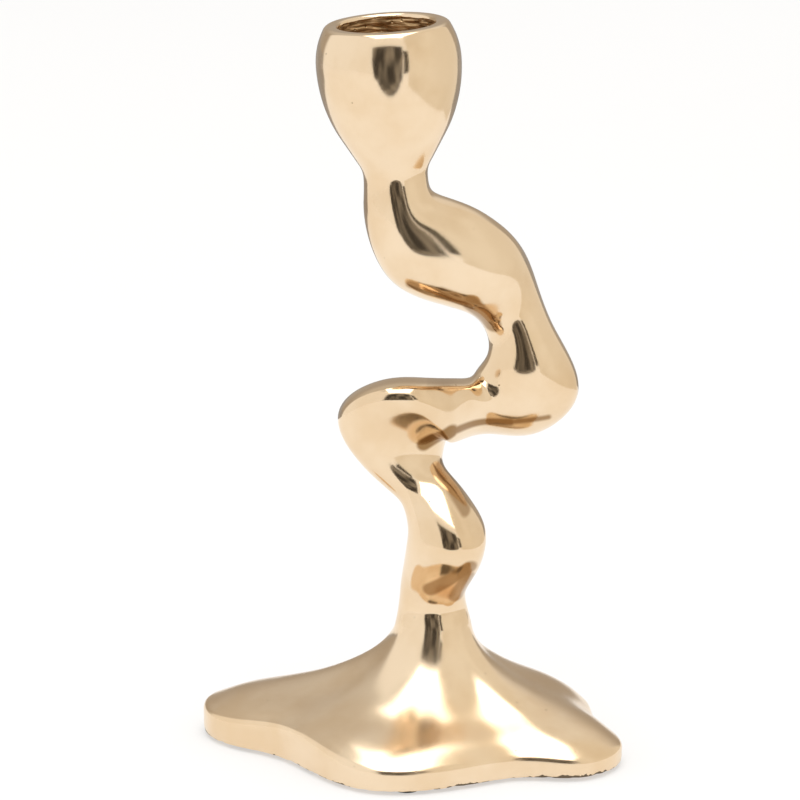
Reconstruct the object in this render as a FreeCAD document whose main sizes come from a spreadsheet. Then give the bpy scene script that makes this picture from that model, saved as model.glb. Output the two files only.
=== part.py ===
import FreeCAD, Part
import math
import os
import Sketcher

# Candle holder of cast and polished brass: a lobed foot drawn up to a neck, a stem that swings
# from side to side and from front to back, and a cup with a socket for one candle.
# The frame has +Z up, the front towards -Y, and its origin under the middle of the foot.

# Named sizes in millimetres, with turns in degrees
SIZES = {
    # Foot: a lobed casting with a raised edge, hollow underneath round a central boss
    "foot_length": 98.6,
    "foot_width": 74.1,
    "foot_height": 30.0,
    "foot_edge": 7.4,
    "foot_crown": 2.8,
    "foot_land": 8.0,
    "foot_wall": 4.2,
    "hollow_height": 11.5,
    "neck_offset": 5.2,
    "neck_radius": 8.8,
    "boss_radius": 9.0,
    "boss_height": 8.5,
    # Pads under the foot
    "pad_radius": 3.0,
    "pad_thickness": 1.0,
    "pad_inset": 5.0,
    # Stem: from the neck of the foot to the seat of the cup
    "stem_height": 106.5,
    "stem_reach": 23.2,
    "stem_sway": 12.0,
    "stem_girth": 12.9,
    # Cup: a turned goblet form that leans over the seat on top of the stem. The slope of its
    # side is a share of the slope at which the hollow at the waist would run into the belly.
    "seat_offset": 8.8,
    "cup_lean": 3.4,
    "waist_radius": 7.4,
    "waist_round": 6.5,
    "slope_share": 0.79,
    "belly_radius": 16.75,
    "belly_drop": 9.1,
    "lip_radius": 14.6,
    "lip_drop": 0.8,
    "cup_height": 35.9,
    "socket_radius": 11.25,
    "socket_floor": 12.9,
    "mouth_round": 0.8,
    # Stud between the cup and the stem
    "stud_radius": 3.0,
    "stud_length": 16.0,
    "stud_end_gap": 0.5,
    # Screw and washers that hold the foot to the stem
    "screw_radius": 3.0,
    "screw_length": 35.0,
    "screw_head_across": 10.0,
    "screw_head_height": 4.0,
    "screw_end_gap": 1.0,
    "washer_radius": 6.0,
    "washer_thickness": 1.6,
    "spring_washer_radius": 5.6,
    "spring_washer_thickness": 1.6,
    "spring_washer_slit": 0.8,
    "end_chamfer": 0.6,
    # Clearances round the threads and holes, and the overrun of every cut
    "thread_clearance": 0.1,
    "hole_clearance": 0.3,
    "overrun": 2.0,
}

# Outline of the foot, counter-clockwise from its straight back left side. Each point is a share of half
# the length and half the width, then the edge's height and the crown there as shares of their sizes.
FOOT_POINT_SHARES = [
    (-0.446, 0.837, 0.70, 0.12),
    (-0.811, 0.661, 0.79, 0.06),
    (-0.994, 0.378, 0.83, 0.14),
    (-0.913, 0.000, 0.77, 0.00),
    (-0.669, -0.256, 0.95, 0.00),
    (-0.497, -0.553, 1.00, 0.00),
    (-0.284, -0.904, 0.70, 0.00),
    (-0.041, -0.999, 0.61, 0.00),
    (0.264, -0.864, 0.62, 0.00),
    (0.527, -0.715, 0.59, 0.00),
    (0.811, -0.715, 0.51, 0.14),
    (1.000, -0.351, 0.51, 0.29),
    (0.892, 0.108, 0.54, 0.79),
    (0.842, 0.499, 0.59, 1.00),
    (0.527, 0.837, 0.68, 0.86),
    (0.000, 1.000, 0.68, 0.43),
]

# Rings of the foot from the table up to the neck: share of the way out from the neck to the
# outline, share of the edge's height, and share of the rise from the edge to the neck.
FOOT_RING_SHARES = [
    (0.995, 0.00, 0.000),
    (1.000, 0.20, 0.000),
    (1.000, 0.55, 0.000),
    (1.000, 0.86, 0.000),
    (0.990, 1.00, 0.010),
    (0.960, 1.00, 0.040),
    (0.860, 1.00, 0.115),
    (0.700, 1.00, 0.200),
    (0.520, 1.00, 0.292),
    (0.360, 1.00, 0.403),
    (0.220, 1.00, 0.537),
    (0.104, 1.00, 0.690),
    (0.028, 1.00, 0.860),
    (0.000, 1.00, 1.000),
]

# Rings of the hollow under the foot's wall: share of the way out and share of the rise
HOLLOW_RING_SHARES = [(0.62, 0.245), (0.45, 0.350)]
HOLLOW_TOP_SHARE = 0.30

# Outline points that the pads stand behind
PAD_POINTS = [2, 7, 11, 14]

# Stations of the stem from the cup's seat down to the neck: shares of the stem's height, reach
# to the right, sway to the back, girth across, and girth from front to back. The two ends are
# round and take the radii of the cup's waist and of the neck.
STATION_SHARES = [
    (1.000, 0.000, 0.000),
    (0.985, 0.000, 0.000, 0.578, 0.574),
    (0.943, -0.004, 0.025, 0.643, 0.670),
    (0.872, 0.120, 0.050, 0.860, 0.770),
    (0.825, 0.472, 0.150, 0.938, 0.800),
    (0.764, 0.879, 0.450, 0.783, 0.744),
    (0.687, 1.038, 0.875, 0.612, 0.640),
    (0.626, 1.126, 0.833, 0.612, 0.640),
    (0.538, 1.204, 0.775, 0.899, 0.640),
    (0.469, 0.897, 0.908, 0.791, 0.660),
    (0.463, 0.659, 0.750, 0.620, 0.620),
    (0.472, 0.425, 0.317, 0.574, 0.600),
    (0.482, 0.216, -0.117, 0.660, 0.630),
    (0.482, 0.007, -0.100, 0.814, 0.682),
    (0.426, -0.264, 0.083, 1.000, 0.700),
    (0.327, -0.056, -0.058, 0.574, 0.620),
    (0.296, 0.086, -0.283, 0.558, 0.640),
    (0.230, 0.212, -0.575, 0.690, 0.720),
    (0.198, 0.203, -0.650, 0.713, 0.698),
    (0.152, 0.147, -0.558, 0.682, 0.667),
    (0.085, 0.036, -0.217, 0.597, 0.597),
    (0.047, 0.009, -0.050, 0.605, 0.605),
    (0.000, 0.000, 0.000),
]
# The form of each station, without the two ends: the turn of its right-hand side above the level
# and the lean of its front, in degrees, then the power of its outline, which is 2 for an oval and
# higher where the sides are ground flat.
STATION_FORMS = [
    (5, 0, 2.0), (22, 0, 2.0), (53, 0, 2.0), (62, 0, 2.0), (53, 0, 2.0), (36, 0, 2.0), (9, 0, 2.0),
    (-23, 6, 2.2), (-52, 18, 3.2), (-72, 24, 4.4), (-80, 24, 5.0), (-68, 26, 5.5), (-48, 28, 5.5),
    (-23, 18, 3.6), (13, 4, 2.2), (14, 0, 2.0), (6, -4, 2.0), (3, -8, 2.0), (-2, -10, 2.0),
    (-5, -6, 2.0), (0, 0, 2.0),
]

# Control points round each section of the stem, which stand outside the oval by a fixed factor
RING_STEPS = 12
RING_FACTOR = 3 / (2 + math.cos(2 * math.pi / RING_STEPS))

# Power of the distance between sections that spaces them along a smooth surface
SPACING_POWER = 0.75

doc = FreeCAD.newDocument("CandleHolder")
sheet = doc.addObject("Spreadsheet::Sheet", "Sizes")
for row, (name, value) in enumerate(SIZES.items(), start=1):
    sheet.set(f"A{row}", name)
    sheet.set(f"B{row}", str(value))
    sheet.setAlias(f"B{row}", name)
doc.recompute()


def size(name):
    """The value of a named size, read back from the sheet."""
    return float(sheet.get(name))


def named(text):
    """An expression in which every named size is looked up in the sheet."""
    words = sorted(SIZES, key=len, reverse=True)
    marks = {word: f"@{index}@" for index, word in enumerate(words)}
    for word in words:
        text = text.replace(word, marks[word])
    for word in words:
        text = text.replace(marks[word], f"Sizes.{word}")
    return text


def bind(thing, **sizes):
    """Ties properties of an object to expressions of the named sizes."""
    for prop, text in sizes.items():
        thing.setExpression(prop, named(text))


def place(thing, x="0", y="0", z="0", turn="0"):
    """Ties an object's place to the named sizes, with a turn about the depth axis in degrees."""
    spot = f"create(<<vector>>; {x}; {y}; {z})"
    axis = "create(<<vector>>; 0; 1; 0)"
    text = f"create(<<placement>>; {spot}; create(<<rotation>>; {axis}; {turn}))"
    thing.setExpression("Placement", named(text))


def add(kind, name, **sizes):
    """A document object whose properties are tied to the named sizes."""
    thing = doc.addObject(kind, name)
    bind(thing, **sizes)
    return thing


def cut(name, base, tool):
    """One solid less another, checked to have lost some volume."""
    doc.recompute()
    result = doc.addObject("Part::Cut", name)
    result.Base = base
    result.Tool = tool
    doc.recompute()
    if not 0 < result.Shape.Volume < base.Shape.Volume:
        raise RuntimeError(f"{name} cut nothing")
    return result


def new_body(name):
    body = doc.addObject("PartDesign::Body", name)
    body.Label = name
    return body


def new_sketch(body, role, name):
    """A sketch on one of the body's own origin planes."""
    sketch = body.newObject("Sketcher::SketchObject", name)
    plane = next(item for item in body.Origin.OriginFeatures if item.Role == role)
    sketch.AttachmentSupport = [(plane, "")]
    sketch.MapMode = "FlatFace"
    return sketch


def hold(sketch, kind, *where, text):
    """A dimension of a sketch, tied to the named sizes and set to its value now."""
    value = sheet.evalExpression(named(text))
    index = sketch.addConstraint(Sketcher.Constraint(kind, *where, float(value)))
    sketch.setExpression(f"Constraints[{index}]", named(text))


def hold_point(sketch, item, end, x, y):
    """Both coordinates of an end point, measured from the sketch's origin."""
    hold(sketch, "DistanceX", -1, 1, item, end, text=x)
    hold(sketch, "DistanceY", -1, 1, item, end, text=y)


def vector(x, z):
    return FreeCAD.Vector(x, z, 0)


def line(start, end):
    return Part.LineSegment(vector(*start), vector(*end))


def arc(centre, start, end):
    """A counter-clockwise arc about a centre, from one point to another."""
    radius = math.dist(centre, start)
    first = math.atan2(start[1] - centre[1], start[0] - centre[0])
    last = math.atan2(end[1] - centre[1], end[0] - centre[0])
    circle = Part.Circle(vector(*centre), FreeCAD.Vector(0, 0, 1), radius)
    return Part.ArcOfCircle(circle, first, last)


def link(sketch, kind, *pairs):
    for pair in pairs:
        sketch.addConstraint(Sketcher.Constraint(kind, *pair))


def chamfer_rounds(body, feature, heights):
    """Chamfers the round edges of a feature that lie at the given heights."""
    names = []
    tolerance = size("end_chamfer") / 4
    for index, edge in enumerate(feature.Shape.Edges, start=1):
        closed = isinstance(edge.Curve, Part.Circle) and edge.isClosed()
        if closed and any(abs(edge.CenterOfMass.z - height) < tolerance for height in heights):
            names.append(f"Edge{index}")
    chamfer = body.newObject("PartDesign::Chamfer", "EndChamfer")
    chamfer.Base = (feature, names)
    bind(chamfer, Size="end_chamfer")
    body.Tip = chamfer
    doc.recompute()
    return chamfer


# Places that several pieces share
FOOT_TOP = "(pad_thickness + foot_height)"
SEAT_X = "(neck_offset - seat_offset)"
SEAT_Z = f"({FOOT_TOP} + stem_height)"
BOSS_FACE = "(pad_thickness + boss_height)"
STUD_DEPTH = "(stud_length / 2 + stud_end_gap)"
SCREW_FACE = f"({BOSS_FACE} - washer_thickness - spring_washer_thickness)"
SIDE_SLOPE = "(2 * atan((belly_radius - waist_radius) / (cup_height - belly_drop)) * slope_share)"


# Smooth solids over closed sections
def ring_spacing(rings):
    """Parameters along a solid that follow the mean distances between its rings of points."""
    knots = [0.0]
    for start, end in zip(rings, rings[1:]):
        gaps = [math.dist(first, second) for first, second in zip(start, end)]
        knots.append(knots[-1] + (sum(gaps) / len(gaps)) ** SPACING_POWER)
    return knots


def skinned_solid(name, sections, spacing):
    """A solid whose side is one smooth surface through closed sections, with flat ends.

    The sections turn by more than a right angle from lobe to lobe, which a plain loft twists.
    """
    strands = []
    for pole in range(1, sections[0].NbPoles + 1):
        strand = Part.BSplineCurve()
        strand.interpolate(Points=[section.getPole(pole) for section in sections], Parameters=spacing)
        strands.append(strand)
    across, along = sections[0], strands[0]
    surface = Part.BSplineSurface()
    surface.buildFromPolesMultsKnots(
        [strand.getPoles() for strand in strands], across.getMultiplicities(), along.getMultiplicities(),
        across.getKnots(), along.getKnots(), True, False, across.Degree, along.Degree)
    side = surface.toShape()
    ends = [Part.Face(Part.Wire([edge])) for edge in side.Edges if edge.isClosed()]
    shell = Part.Shell([side] + ends)
    shell.sewShape()
    solid = doc.addObject("Part::Feature", name)
    solid.Shape = Part.Solid(shell)
    return solid


# Foot
def outline_knots(points):
    """Parameters for a closed spline that follow the spacing of its points."""
    knots = [0.0]
    for start, end in zip(points, points[1:] + points[:1]):
        knots.append(knots[-1] + math.sqrt(math.dist(start[:2], end[:2])))
    return knots


def foot_points():
    """Outline points of the foot with the edge's height and the crown at each."""
    half_length = size("foot_length") / 2
    half_width = size("foot_width") / 2
    for across, along, edge, crown in FOOT_POINT_SHARES:
        yield (half_length * across, half_width * along, size("foot_edge") * edge, size("foot_crown") * crown)


def closed_curve(points, knots):
    """A closed spline through points."""
    curve = Part.BSplineCurve()
    spots = [FreeCAD.Vector(*point) for point in points]
    curve.interpolate(Points=spots, PeriodicFlag=True, Parameters=knots)
    return curve


def foot_ring(out_share, edge_share, rise_share):
    """Points of one ring of the foot's outside, between the outline and the round neck."""
    neck_x, neck_radius = size("neck_offset"), size("neck_radius")
    for x, y, edge, crown in foot_points():
        reach = math.hypot(x - neck_x, y)
        out = (neck_radius + (reach - neck_radius) * out_share) / reach
        rise = (size("foot_height") - edge) * rise_share + crown * 4 * out_share * (1 - out_share)
        base = edge * edge_share + (rise if rise_share > 0 else 0)
        yield (neck_x + (x - neck_x) * out, y * out, size("pad_thickness") + base)


def land_ring(height):
    """Points of the inner edge of the flat land that the foot stands on."""
    neck_x = size("neck_offset")
    for x, y, edge, crown in foot_points():
        reach = math.hypot(x - neck_x, y)
        out = (reach - size("foot_land")) / reach
        yield (neck_x + (x - neck_x) * out, y * out, height)


def hollow_rings():
    """Rings of the hollow under the foot, from below the land up to a flat ceiling."""
    base = size("pad_thickness")
    yield list(land_ring(base - size("overrun")))
    yield list(land_ring(base))
    for out_share, rise_share in HOLLOW_RING_SHARES:
        yield [(x, y, z - size("foot_wall")) for x, y, z in foot_ring(out_share, 1, rise_share)]
    ceiling = base + size("hollow_height")
    yield [(x, y, ceiling) for x, y, z in foot_ring(HOLLOW_TOP_SHARE, 1, 1)]


def through_rings(name, rings, knots):
    """A smooth solid through rings of points that follow the foot's outline."""
    return skinned_solid(name, [closed_curve(ring, knots) for ring in rings], ring_spacing(rings))


def make_foot():
    knots = outline_knots(list(foot_points()))
    outside = through_rings("FootOutside", [list(foot_ring(*shares)) for shares in FOOT_RING_SHARES], knots)
    hollow = through_rings("HollowBlank", list(hollow_rings()), knots)
    boss = add("Part::Cylinder", "Boss", Radius="boss_radius", Height="foot_height")
    place(boss, x="neck_offset", z=BOSS_FACE)
    hollow = cut("Hollow", hollow, boss)
    hole = add("Part::Cylinder", "NeckHole", Radius="screw_radius + hole_clearance",
               Height="foot_height + 2 * overrun")
    place(hole, x="neck_offset", z="pad_thickness - overrun")
    foot = cut("foot", cut("FootShell", outside, hollow), hole)
    foot.Label = "foot"
    return foot


def make_pad(index, point):
    """A small round pad on the foot's land, set in from one point of the outline."""
    across, along = FOOT_POINT_SHARES[point][:2]
    x, y = f"(foot_length / 2 * {across})", f"(foot_width / 2 * {along})"
    reach = f"sqrt(({x} - neck_offset)^2 + {y}^2)"
    inward = f"(pad_inset / {reach})"
    pad = add("Part::Cylinder", f"foot_pad_{index}", Radius="pad_radius", Height="pad_thickness")
    place(pad, x=f"{x} - ({x} - neck_offset) * {inward}", y=f"{y} - {y} * {inward}")
    pad.Label = f"foot_pad_{index}"
    return pad


# Stem
def stem_ring(shares, across, thick, turn, lean=0, power=2):
    """Control points of one section of the stem, turned about the depth axis, with a leaning front."""
    height, reach, sway = shares[:3]
    x = size("neck_offset") - size("seat_offset") * height + size("stem_reach") * reach
    y = size("stem_sway") * sway
    z = size("pad_thickness") + size("foot_height") + size("stem_height") * height
    slope = math.radians(turn)
    for step in range(RING_STEPS):
        angle = 2 * math.pi * step / RING_STEPS
        beside, behind = -math.sin(angle), math.cos(angle)
        fill = RING_FACTOR / (abs(beside) ** power + abs(behind) ** power) ** (1 / power)
        out = across * beside * fill
        back = thick * behind * fill + out * math.tan(math.radians(lean))
        yield (x + out * math.cos(slope), y + back, z + out * math.sin(slope))


def stem_rings():
    """The stem's sections from the cup's seat down to the neck of the foot."""
    girth, waist, neck = size("stem_girth"), size("waist_radius"), size("neck_radius")
    yield list(stem_ring(STATION_SHARES[0], waist, waist, size("cup_lean")))
    for shares, form in zip(STATION_SHARES[1:-1], STATION_FORMS):
        yield list(stem_ring(shares, girth * shares[3], girth * shares[4], *form))
    yield list(stem_ring(STATION_SHARES[-1], neck, neck, 0))


def controlled_curve(points):
    """A closed and evenly divided cubic spline over control points."""
    curve = Part.BSplineCurve()
    spots = [FreeCAD.Vector(*point) for point in points]
    knots = [float(step) for step in range(len(points) + 1)]
    curve.buildFromPolesMultsKnots(spots, [1] * len(knots), knots, True, 3)
    return curve


def make_stem():
    rings = list(stem_rings())
    blank = skinned_solid("StemBlank", [controlled_curve(ring) for ring in rings], ring_spacing(rings))
    stud_hole = add("Part::Cylinder", "StemStudHole", Radius="stud_radius + thread_clearance",
                    Height=f"{STUD_DEPTH} + overrun")
    place(stud_hole, x=f"{SEAT_X} + {STUD_DEPTH} * sin(cup_lean)",
          z=f"{SEAT_Z} - {STUD_DEPTH} * cos(cup_lean)", turn="-cup_lean")
    reach = f"({SCREW_FACE} + screw_length + screw_end_gap - {FOOT_TOP})"
    screw_hole = add("Part::Cylinder", "StemScrewHole", Radius="screw_radius + thread_clearance",
                     Height=f"{reach} + overrun")
    place(screw_hole, x="neck_offset", z=f"{FOOT_TOP} - overrun")
    stem = cut("stem", cut("StemTop", blank, stud_hole), screw_hole)
    stem.Label = "stem"
    return stem


# Cup
def cup_outline(sketch):
    """Half section of the cup's outside, from the hollow at the waist up to a flat rim."""
    waist_radius, waist_round, top = size("waist_radius"), size("waist_round"), size("cup_height")
    belly = (size("belly_radius"), top - size("belly_drop"))
    lip = (size("lip_radius"), top - size("lip_drop"))
    slope = 2 * math.atan((belly[0] - waist_radius) / belly[1]) * size("slope_share")
    waist, waist_centre = (waist_radius, 0.0), (waist_radius + waist_round, 0.0)
    flare = (waist_centre[0] - waist_round * math.cos(slope), waist_round * math.sin(slope))
    run = math.sin(slope) * (belly[1] - flare[1]) - math.cos(slope) * (belly[0] - flare[0])
    lower = run / (1 - math.cos(slope))
    upper = math.dist(belly, lip) ** 2 / 2 / (belly[0] - lip[0])
    lower_centre = (belly[0] - lower, belly[1])
    upper_centre = (belly[0] - upper, belly[1])
    side_top = (lower_centre[0] + lower * math.cos(slope), belly[1] - lower * math.sin(slope))
    lean = math.asin((lip[1] - belly[1]) / upper)
    lip_round = (top - lip[1]) / (1 - math.sin(lean))
    lip_centre = (lip[0] - lip_round * math.cos(lean), lip[1] - lip_round * math.sin(lean))
    rim = (lip_centre[0], top)
    sketch.addGeometry([
        line((0, 0), waist),
        arc(waist_centre, flare, waist),
        line(flare, side_top),
        arc(lower_centre, side_top, belly),
        arc(upper_centre, belly, lip),
        arc(lip_centre, lip, rim),
        line(rim, (0, top)),
        line((0, top), (0, 0)),
    ], False)
    link(sketch, "Coincident", (0, 1, -1, 1), (0, 2, 1, 2), (6, 2, 7, 1), (7, 2, 0, 1))
    link(sketch, "Tangent", (1, 1, 2, 1), (2, 2, 3, 1), (3, 2, 4, 1), (4, 2, 5, 1), (5, 2, 6, 1))
    link(sketch, "Horizontal", (0,), (6,), (1, 3, 1, 2), (3, 3, 3, 2))
    link(sketch, "Vertical", (7,))
    hold(sketch, "DistanceX", -1, 1, 0, 2, text="waist_radius")
    hold(sketch, "Radius", 1, text="waist_round")
    hold(sketch, "DistanceX", -1, 1, 2, 1, text=f"waist_radius + waist_round * (1 - cos({SIDE_SLOPE}))")
    hold_point(sketch, 3, 2, "belly_radius", "cup_height - belly_drop")
    hold_point(sketch, 4, 2, "lip_radius", "cup_height - lip_drop")
    hold(sketch, "DistanceY", -1, 1, 6, 2, text="cup_height")


def socket_outline(sketch):
    """Half section of the candle socket, with its rounded mouth and the overrun above the rim."""
    radius, top, mouth = size("socket_radius"), size("cup_height"), size("mouth_round")
    floor, above = size("socket_floor"), top + size("overrun")
    wide = radius + mouth
    sketch.addGeometry([
        line((0, floor), (radius, floor)),
        line((radius, floor), (radius, top - mouth)),
        arc((wide, top - mouth), (wide, top), (radius, top - mouth)),
        line((wide, top), (wide, above)),
        line((wide, above), (0, above)),
        line((0, above), (0, floor)),
    ], False)
    link(sketch, "Coincident", (0, 2, 1, 1), (2, 1, 3, 1), (3, 2, 4, 1), (4, 2, 5, 1), (5, 2, 0, 1))
    link(sketch, "Tangent", (1, 2, 2, 2))
    link(sketch, "Horizontal", (0,), (4,))
    link(sketch, "Vertical", (1,), (3,), (5,), (2, 3, 2, 1))
    link(sketch, "PointOnObject", (5, 1, -2))
    hold_point(sketch, 0, 2, "socket_radius", "socket_floor")
    hold(sketch, "Radius", 2, text="mouth_round")
    hold(sketch, "DistanceY", -1, 1, 2, 1, text="cup_height")
    hold(sketch, "DistanceY", -1, 1, 4, 1, text="cup_height + overrun")


def stud_hole_outline(sketch):
    """Half section of the hole in the cup's base."""
    radius = size("stud_radius") + size("thread_clearance")
    depth, below = size("stud_length") / 2 + size("stud_end_gap"), -size("overrun")
    corners = [(0, below), (radius, below), (radius, depth), (0, depth)]
    sketch.addGeometry([line(a, b) for a, b in zip(corners, corners[1:] + corners[:1])], False)
    link(sketch, "Coincident", (0, 2, 1, 1), (1, 2, 2, 1), (2, 2, 3, 1), (3, 2, 0, 1))
    link(sketch, "Horizontal", (0,), (2,))
    link(sketch, "Vertical", (1,), (3,))
    link(sketch, "PointOnObject", (0, 1, -2))
    hold_point(sketch, 1, 2, "stud_radius + thread_clearance", STUD_DEPTH)
    hold(sketch, "DistanceY", 0, 1, -1, 1, text="overrun")


def turned(body, kind, name, draw):
    """A revolution or groove of a half section about the body's upright axis."""
    before = body.Shape.Volume if body.Tip else 0
    sketch = new_sketch(body, "XZ_Plane", f"{name}Sketch")
    draw(sketch)
    doc.recompute()
    feature = body.newObject(f"PartDesign::{kind}", name)
    feature.Profile = sketch
    feature.ReferenceAxis = (sketch, ["V_Axis"])
    feature.Angle = 360
    body.Tip = feature
    doc.recompute()
    if kind == "Groove" and not 0 < body.Shape.Volume < before:
        raise RuntimeError(f"{name} cut nothing")
    return feature


def make_cup():
    cup = new_body("candle_cup")
    turned(cup, "Revolution", "CupOutside", cup_outline)
    turned(cup, "Groove", "CandleSocket", socket_outline)
    turned(cup, "Groove", "CupStudHole", stud_hole_outline)
    place(cup, x=SEAT_X, z=SEAT_Z, turn="-cup_lean")
    return cup


# Stud, screw and washers
def make_stud():
    stud = new_body("cup_stud")
    rod = stud.newObject("PartDesign::AdditiveCylinder", "StudRod")
    bind(rod, Radius="stud_radius", Height="stud_length")
    doc.recompute()
    chamfer_rounds(stud, rod, [0, size("stud_length")])
    place(stud, x=f"{SEAT_X} + stud_length / 2 * sin(cup_lean)",
          z=f"{SEAT_Z} - stud_length / 2 * cos(cup_lean)", turn="-cup_lean")
    return stud


def make_screw():
    """A hexagon-headed screw, head down, with its shank up through the foot into the stem."""
    screw = new_body("foot_screw")
    head = screw.newObject("PartDesign::AdditivePrism", "ScrewHead")
    head.Polygon = 6
    bind(head, Circumradius="screw_head_across / sqrt(3)", Height="screw_head_height")
    shank = screw.newObject("PartDesign::AdditiveCylinder", "ScrewShank")
    bind(shank, Radius="screw_radius", Height="screw_head_height + screw_length")
    screw.Tip = shank
    doc.recompute()
    chamfer_rounds(screw, shank, [size("screw_head_height") + size("screw_length")])
    place(screw, x="neck_offset", z=f"{SCREW_FACE} - screw_head_height")
    return screw


def make_washer(name, outer, thickness, z, slit=None):
    """A flat ring round the screw, slit on one side where a slit's width is given."""
    washer = new_body(name)
    sketch = new_sketch(washer, "XY_Plane", "RingSketch")
    for text in (outer, "screw_radius + hole_clearance"):
        radius = float(sheet.evalExpression(named(text)))
        item = sketch.addGeometry(Part.Circle(vector(0, 0), FreeCAD.Vector(0, 0, 1), radius), False)
        link(sketch, "Coincident", (item, 3, -1, 1))
        hold(sketch, "Radius", item, text=text)
    ring = washer.newObject("PartDesign::Pad", "Ring")
    ring.Profile = sketch
    bind(ring, Length=thickness)
    washer.Tip = ring
    doc.recompute()
    if slit:
        full = washer.Shape.Volume
        gap = washer.newObject("PartDesign::SubtractiveBox", "Slit")
        bind(gap, Length=outer, Width=slit, Height=thickness)
        washer.Tip = gap
        doc.recompute()
        if not 0 < washer.Shape.Volume < full:
            raise RuntimeError(f"{name} has no slit")
    place(washer, x="neck_offset", z=z)
    return washer


def check(things):
    """Stops the build if an object failed or a piece is not one valid solid."""
    for thing in doc.Objects:
        if "Invalid" in thing.State or "Error" in thing.State:
            raise RuntimeError(f"{thing.Label}: {thing.State}")
    for thing in things:
        shape = thing.Shape
        if shape.isNull() or not shape.isValid() or len(shape.Solids) != 1:
            raise RuntimeError(f"{thing.Label} is not one valid solid")


def export(things):
    os.makedirs("parts", exist_ok=True)
    for thing in things:
        thing.Shape.exportStep(os.path.join("parts", f"{thing.Label}.step"))
        print(f"{thing.Label}: {thing.Shape.Volume / 1000:.2f} cm3")


pieces = [make_cup(), make_stud(), make_stem(), make_foot(), make_screw()]
pieces.append(make_washer("flat_washer", "washer_radius", "washer_thickness",
                          f"{BOSS_FACE} - washer_thickness"))
pieces.append(make_washer("spring_washer", "spring_washer_radius", "spring_washer_thickness",
                          SCREW_FACE, slit="spring_washer_slit"))
pieces.extend(make_pad(index, point) for index, point in enumerate(PAD_POINTS, start=1))
doc.recompute()
check(pieces)
export(pieces)
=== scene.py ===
import math

import bpy
import numpy as np
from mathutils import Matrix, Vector


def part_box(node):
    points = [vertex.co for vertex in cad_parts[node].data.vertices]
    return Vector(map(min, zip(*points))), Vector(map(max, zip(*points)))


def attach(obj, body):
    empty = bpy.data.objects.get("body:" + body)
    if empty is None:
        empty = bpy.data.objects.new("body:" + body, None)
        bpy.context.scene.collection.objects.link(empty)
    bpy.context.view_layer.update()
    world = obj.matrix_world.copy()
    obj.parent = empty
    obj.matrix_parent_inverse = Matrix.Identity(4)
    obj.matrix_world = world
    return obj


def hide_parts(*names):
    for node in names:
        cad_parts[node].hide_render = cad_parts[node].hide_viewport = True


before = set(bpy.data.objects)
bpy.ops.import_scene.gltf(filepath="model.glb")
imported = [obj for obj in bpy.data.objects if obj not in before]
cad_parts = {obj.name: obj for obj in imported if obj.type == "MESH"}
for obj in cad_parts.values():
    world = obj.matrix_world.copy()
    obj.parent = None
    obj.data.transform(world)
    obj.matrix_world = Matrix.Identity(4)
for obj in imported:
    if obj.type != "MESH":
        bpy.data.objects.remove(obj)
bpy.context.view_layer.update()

# Foot
# A flat lobed casting in brass, drawn up in the middle to a round neck. It is hollow underneath
# round a boss, polished on top, and left as cast below and along its lower edge.
foot_length, foot_width, foot_height = 0.0986, 0.0741, 0.0300
foot_edge, foot_crown, foot_land, foot_wall = 0.0074, 0.0028, 0.0080, 0.0042
hollow_height, boss_radius, boss_height = 0.0115, 0.0090, 0.0085
neck_x, neck_radius, screw_way = 0.0052, 0.0088, 0.0033
table_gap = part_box("foot")[0].z

# Outline points: shares of half the length and half the width, then of the edge's height and the crown
foot_point_shares = [
    (-0.446, 0.837, 0.70, 0.12),
    (-0.811, 0.661, 0.79, 0.06),
    (-0.994, 0.378, 0.83, 0.14),
    (-0.913, 0.000, 0.77, 0.00),
    (-0.669, -0.256, 0.95, 0.00),
    (-0.497, -0.553, 1.00, 0.00),
    (-0.284, -0.904, 0.70, 0.00),
    (-0.041, -0.999, 0.61, 0.00),
    (0.264, -0.864, 0.62, 0.00),
    (0.527, -0.715, 0.59, 0.00),
    (0.811, -0.715, 0.51, 0.14),
    (1.000, -0.351, 0.51, 0.29),
    (0.892, 0.108, 0.54, 0.79),
    (0.842, 0.499, 0.59, 1.00),
    (0.527, 0.837, 0.68, 0.86),
    (0.000, 1.000, 0.68, 0.43),
]
# Rings from the table up to the neck: share of the way out, of the edge's height and of the rise
foot_ring_shares = [
    (0.995, 0.00, 0.000),
    (1.000, 0.20, 0.000),
    (1.000, 0.55, 0.000),
    (1.000, 0.86, 0.000),
    (0.990, 1.00, 0.010),
    (0.960, 1.00, 0.040),
    (0.860, 1.00, 0.115),
    (0.700, 1.00, 0.200),
    (0.520, 1.00, 0.292),
    (0.360, 1.00, 0.403),
    (0.220, 1.00, 0.537),
    (0.104, 1.00, 0.690),
    (0.028, 1.00, 0.860),
    (0.000, 1.00, 1.000),
]
hollow_ring_shares = [(0.62, 0.245), (0.45, 0.350)]
hollow_top_share = 0.30
spacing_power, sharp_corner = 0.75, math.radians(40)


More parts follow.
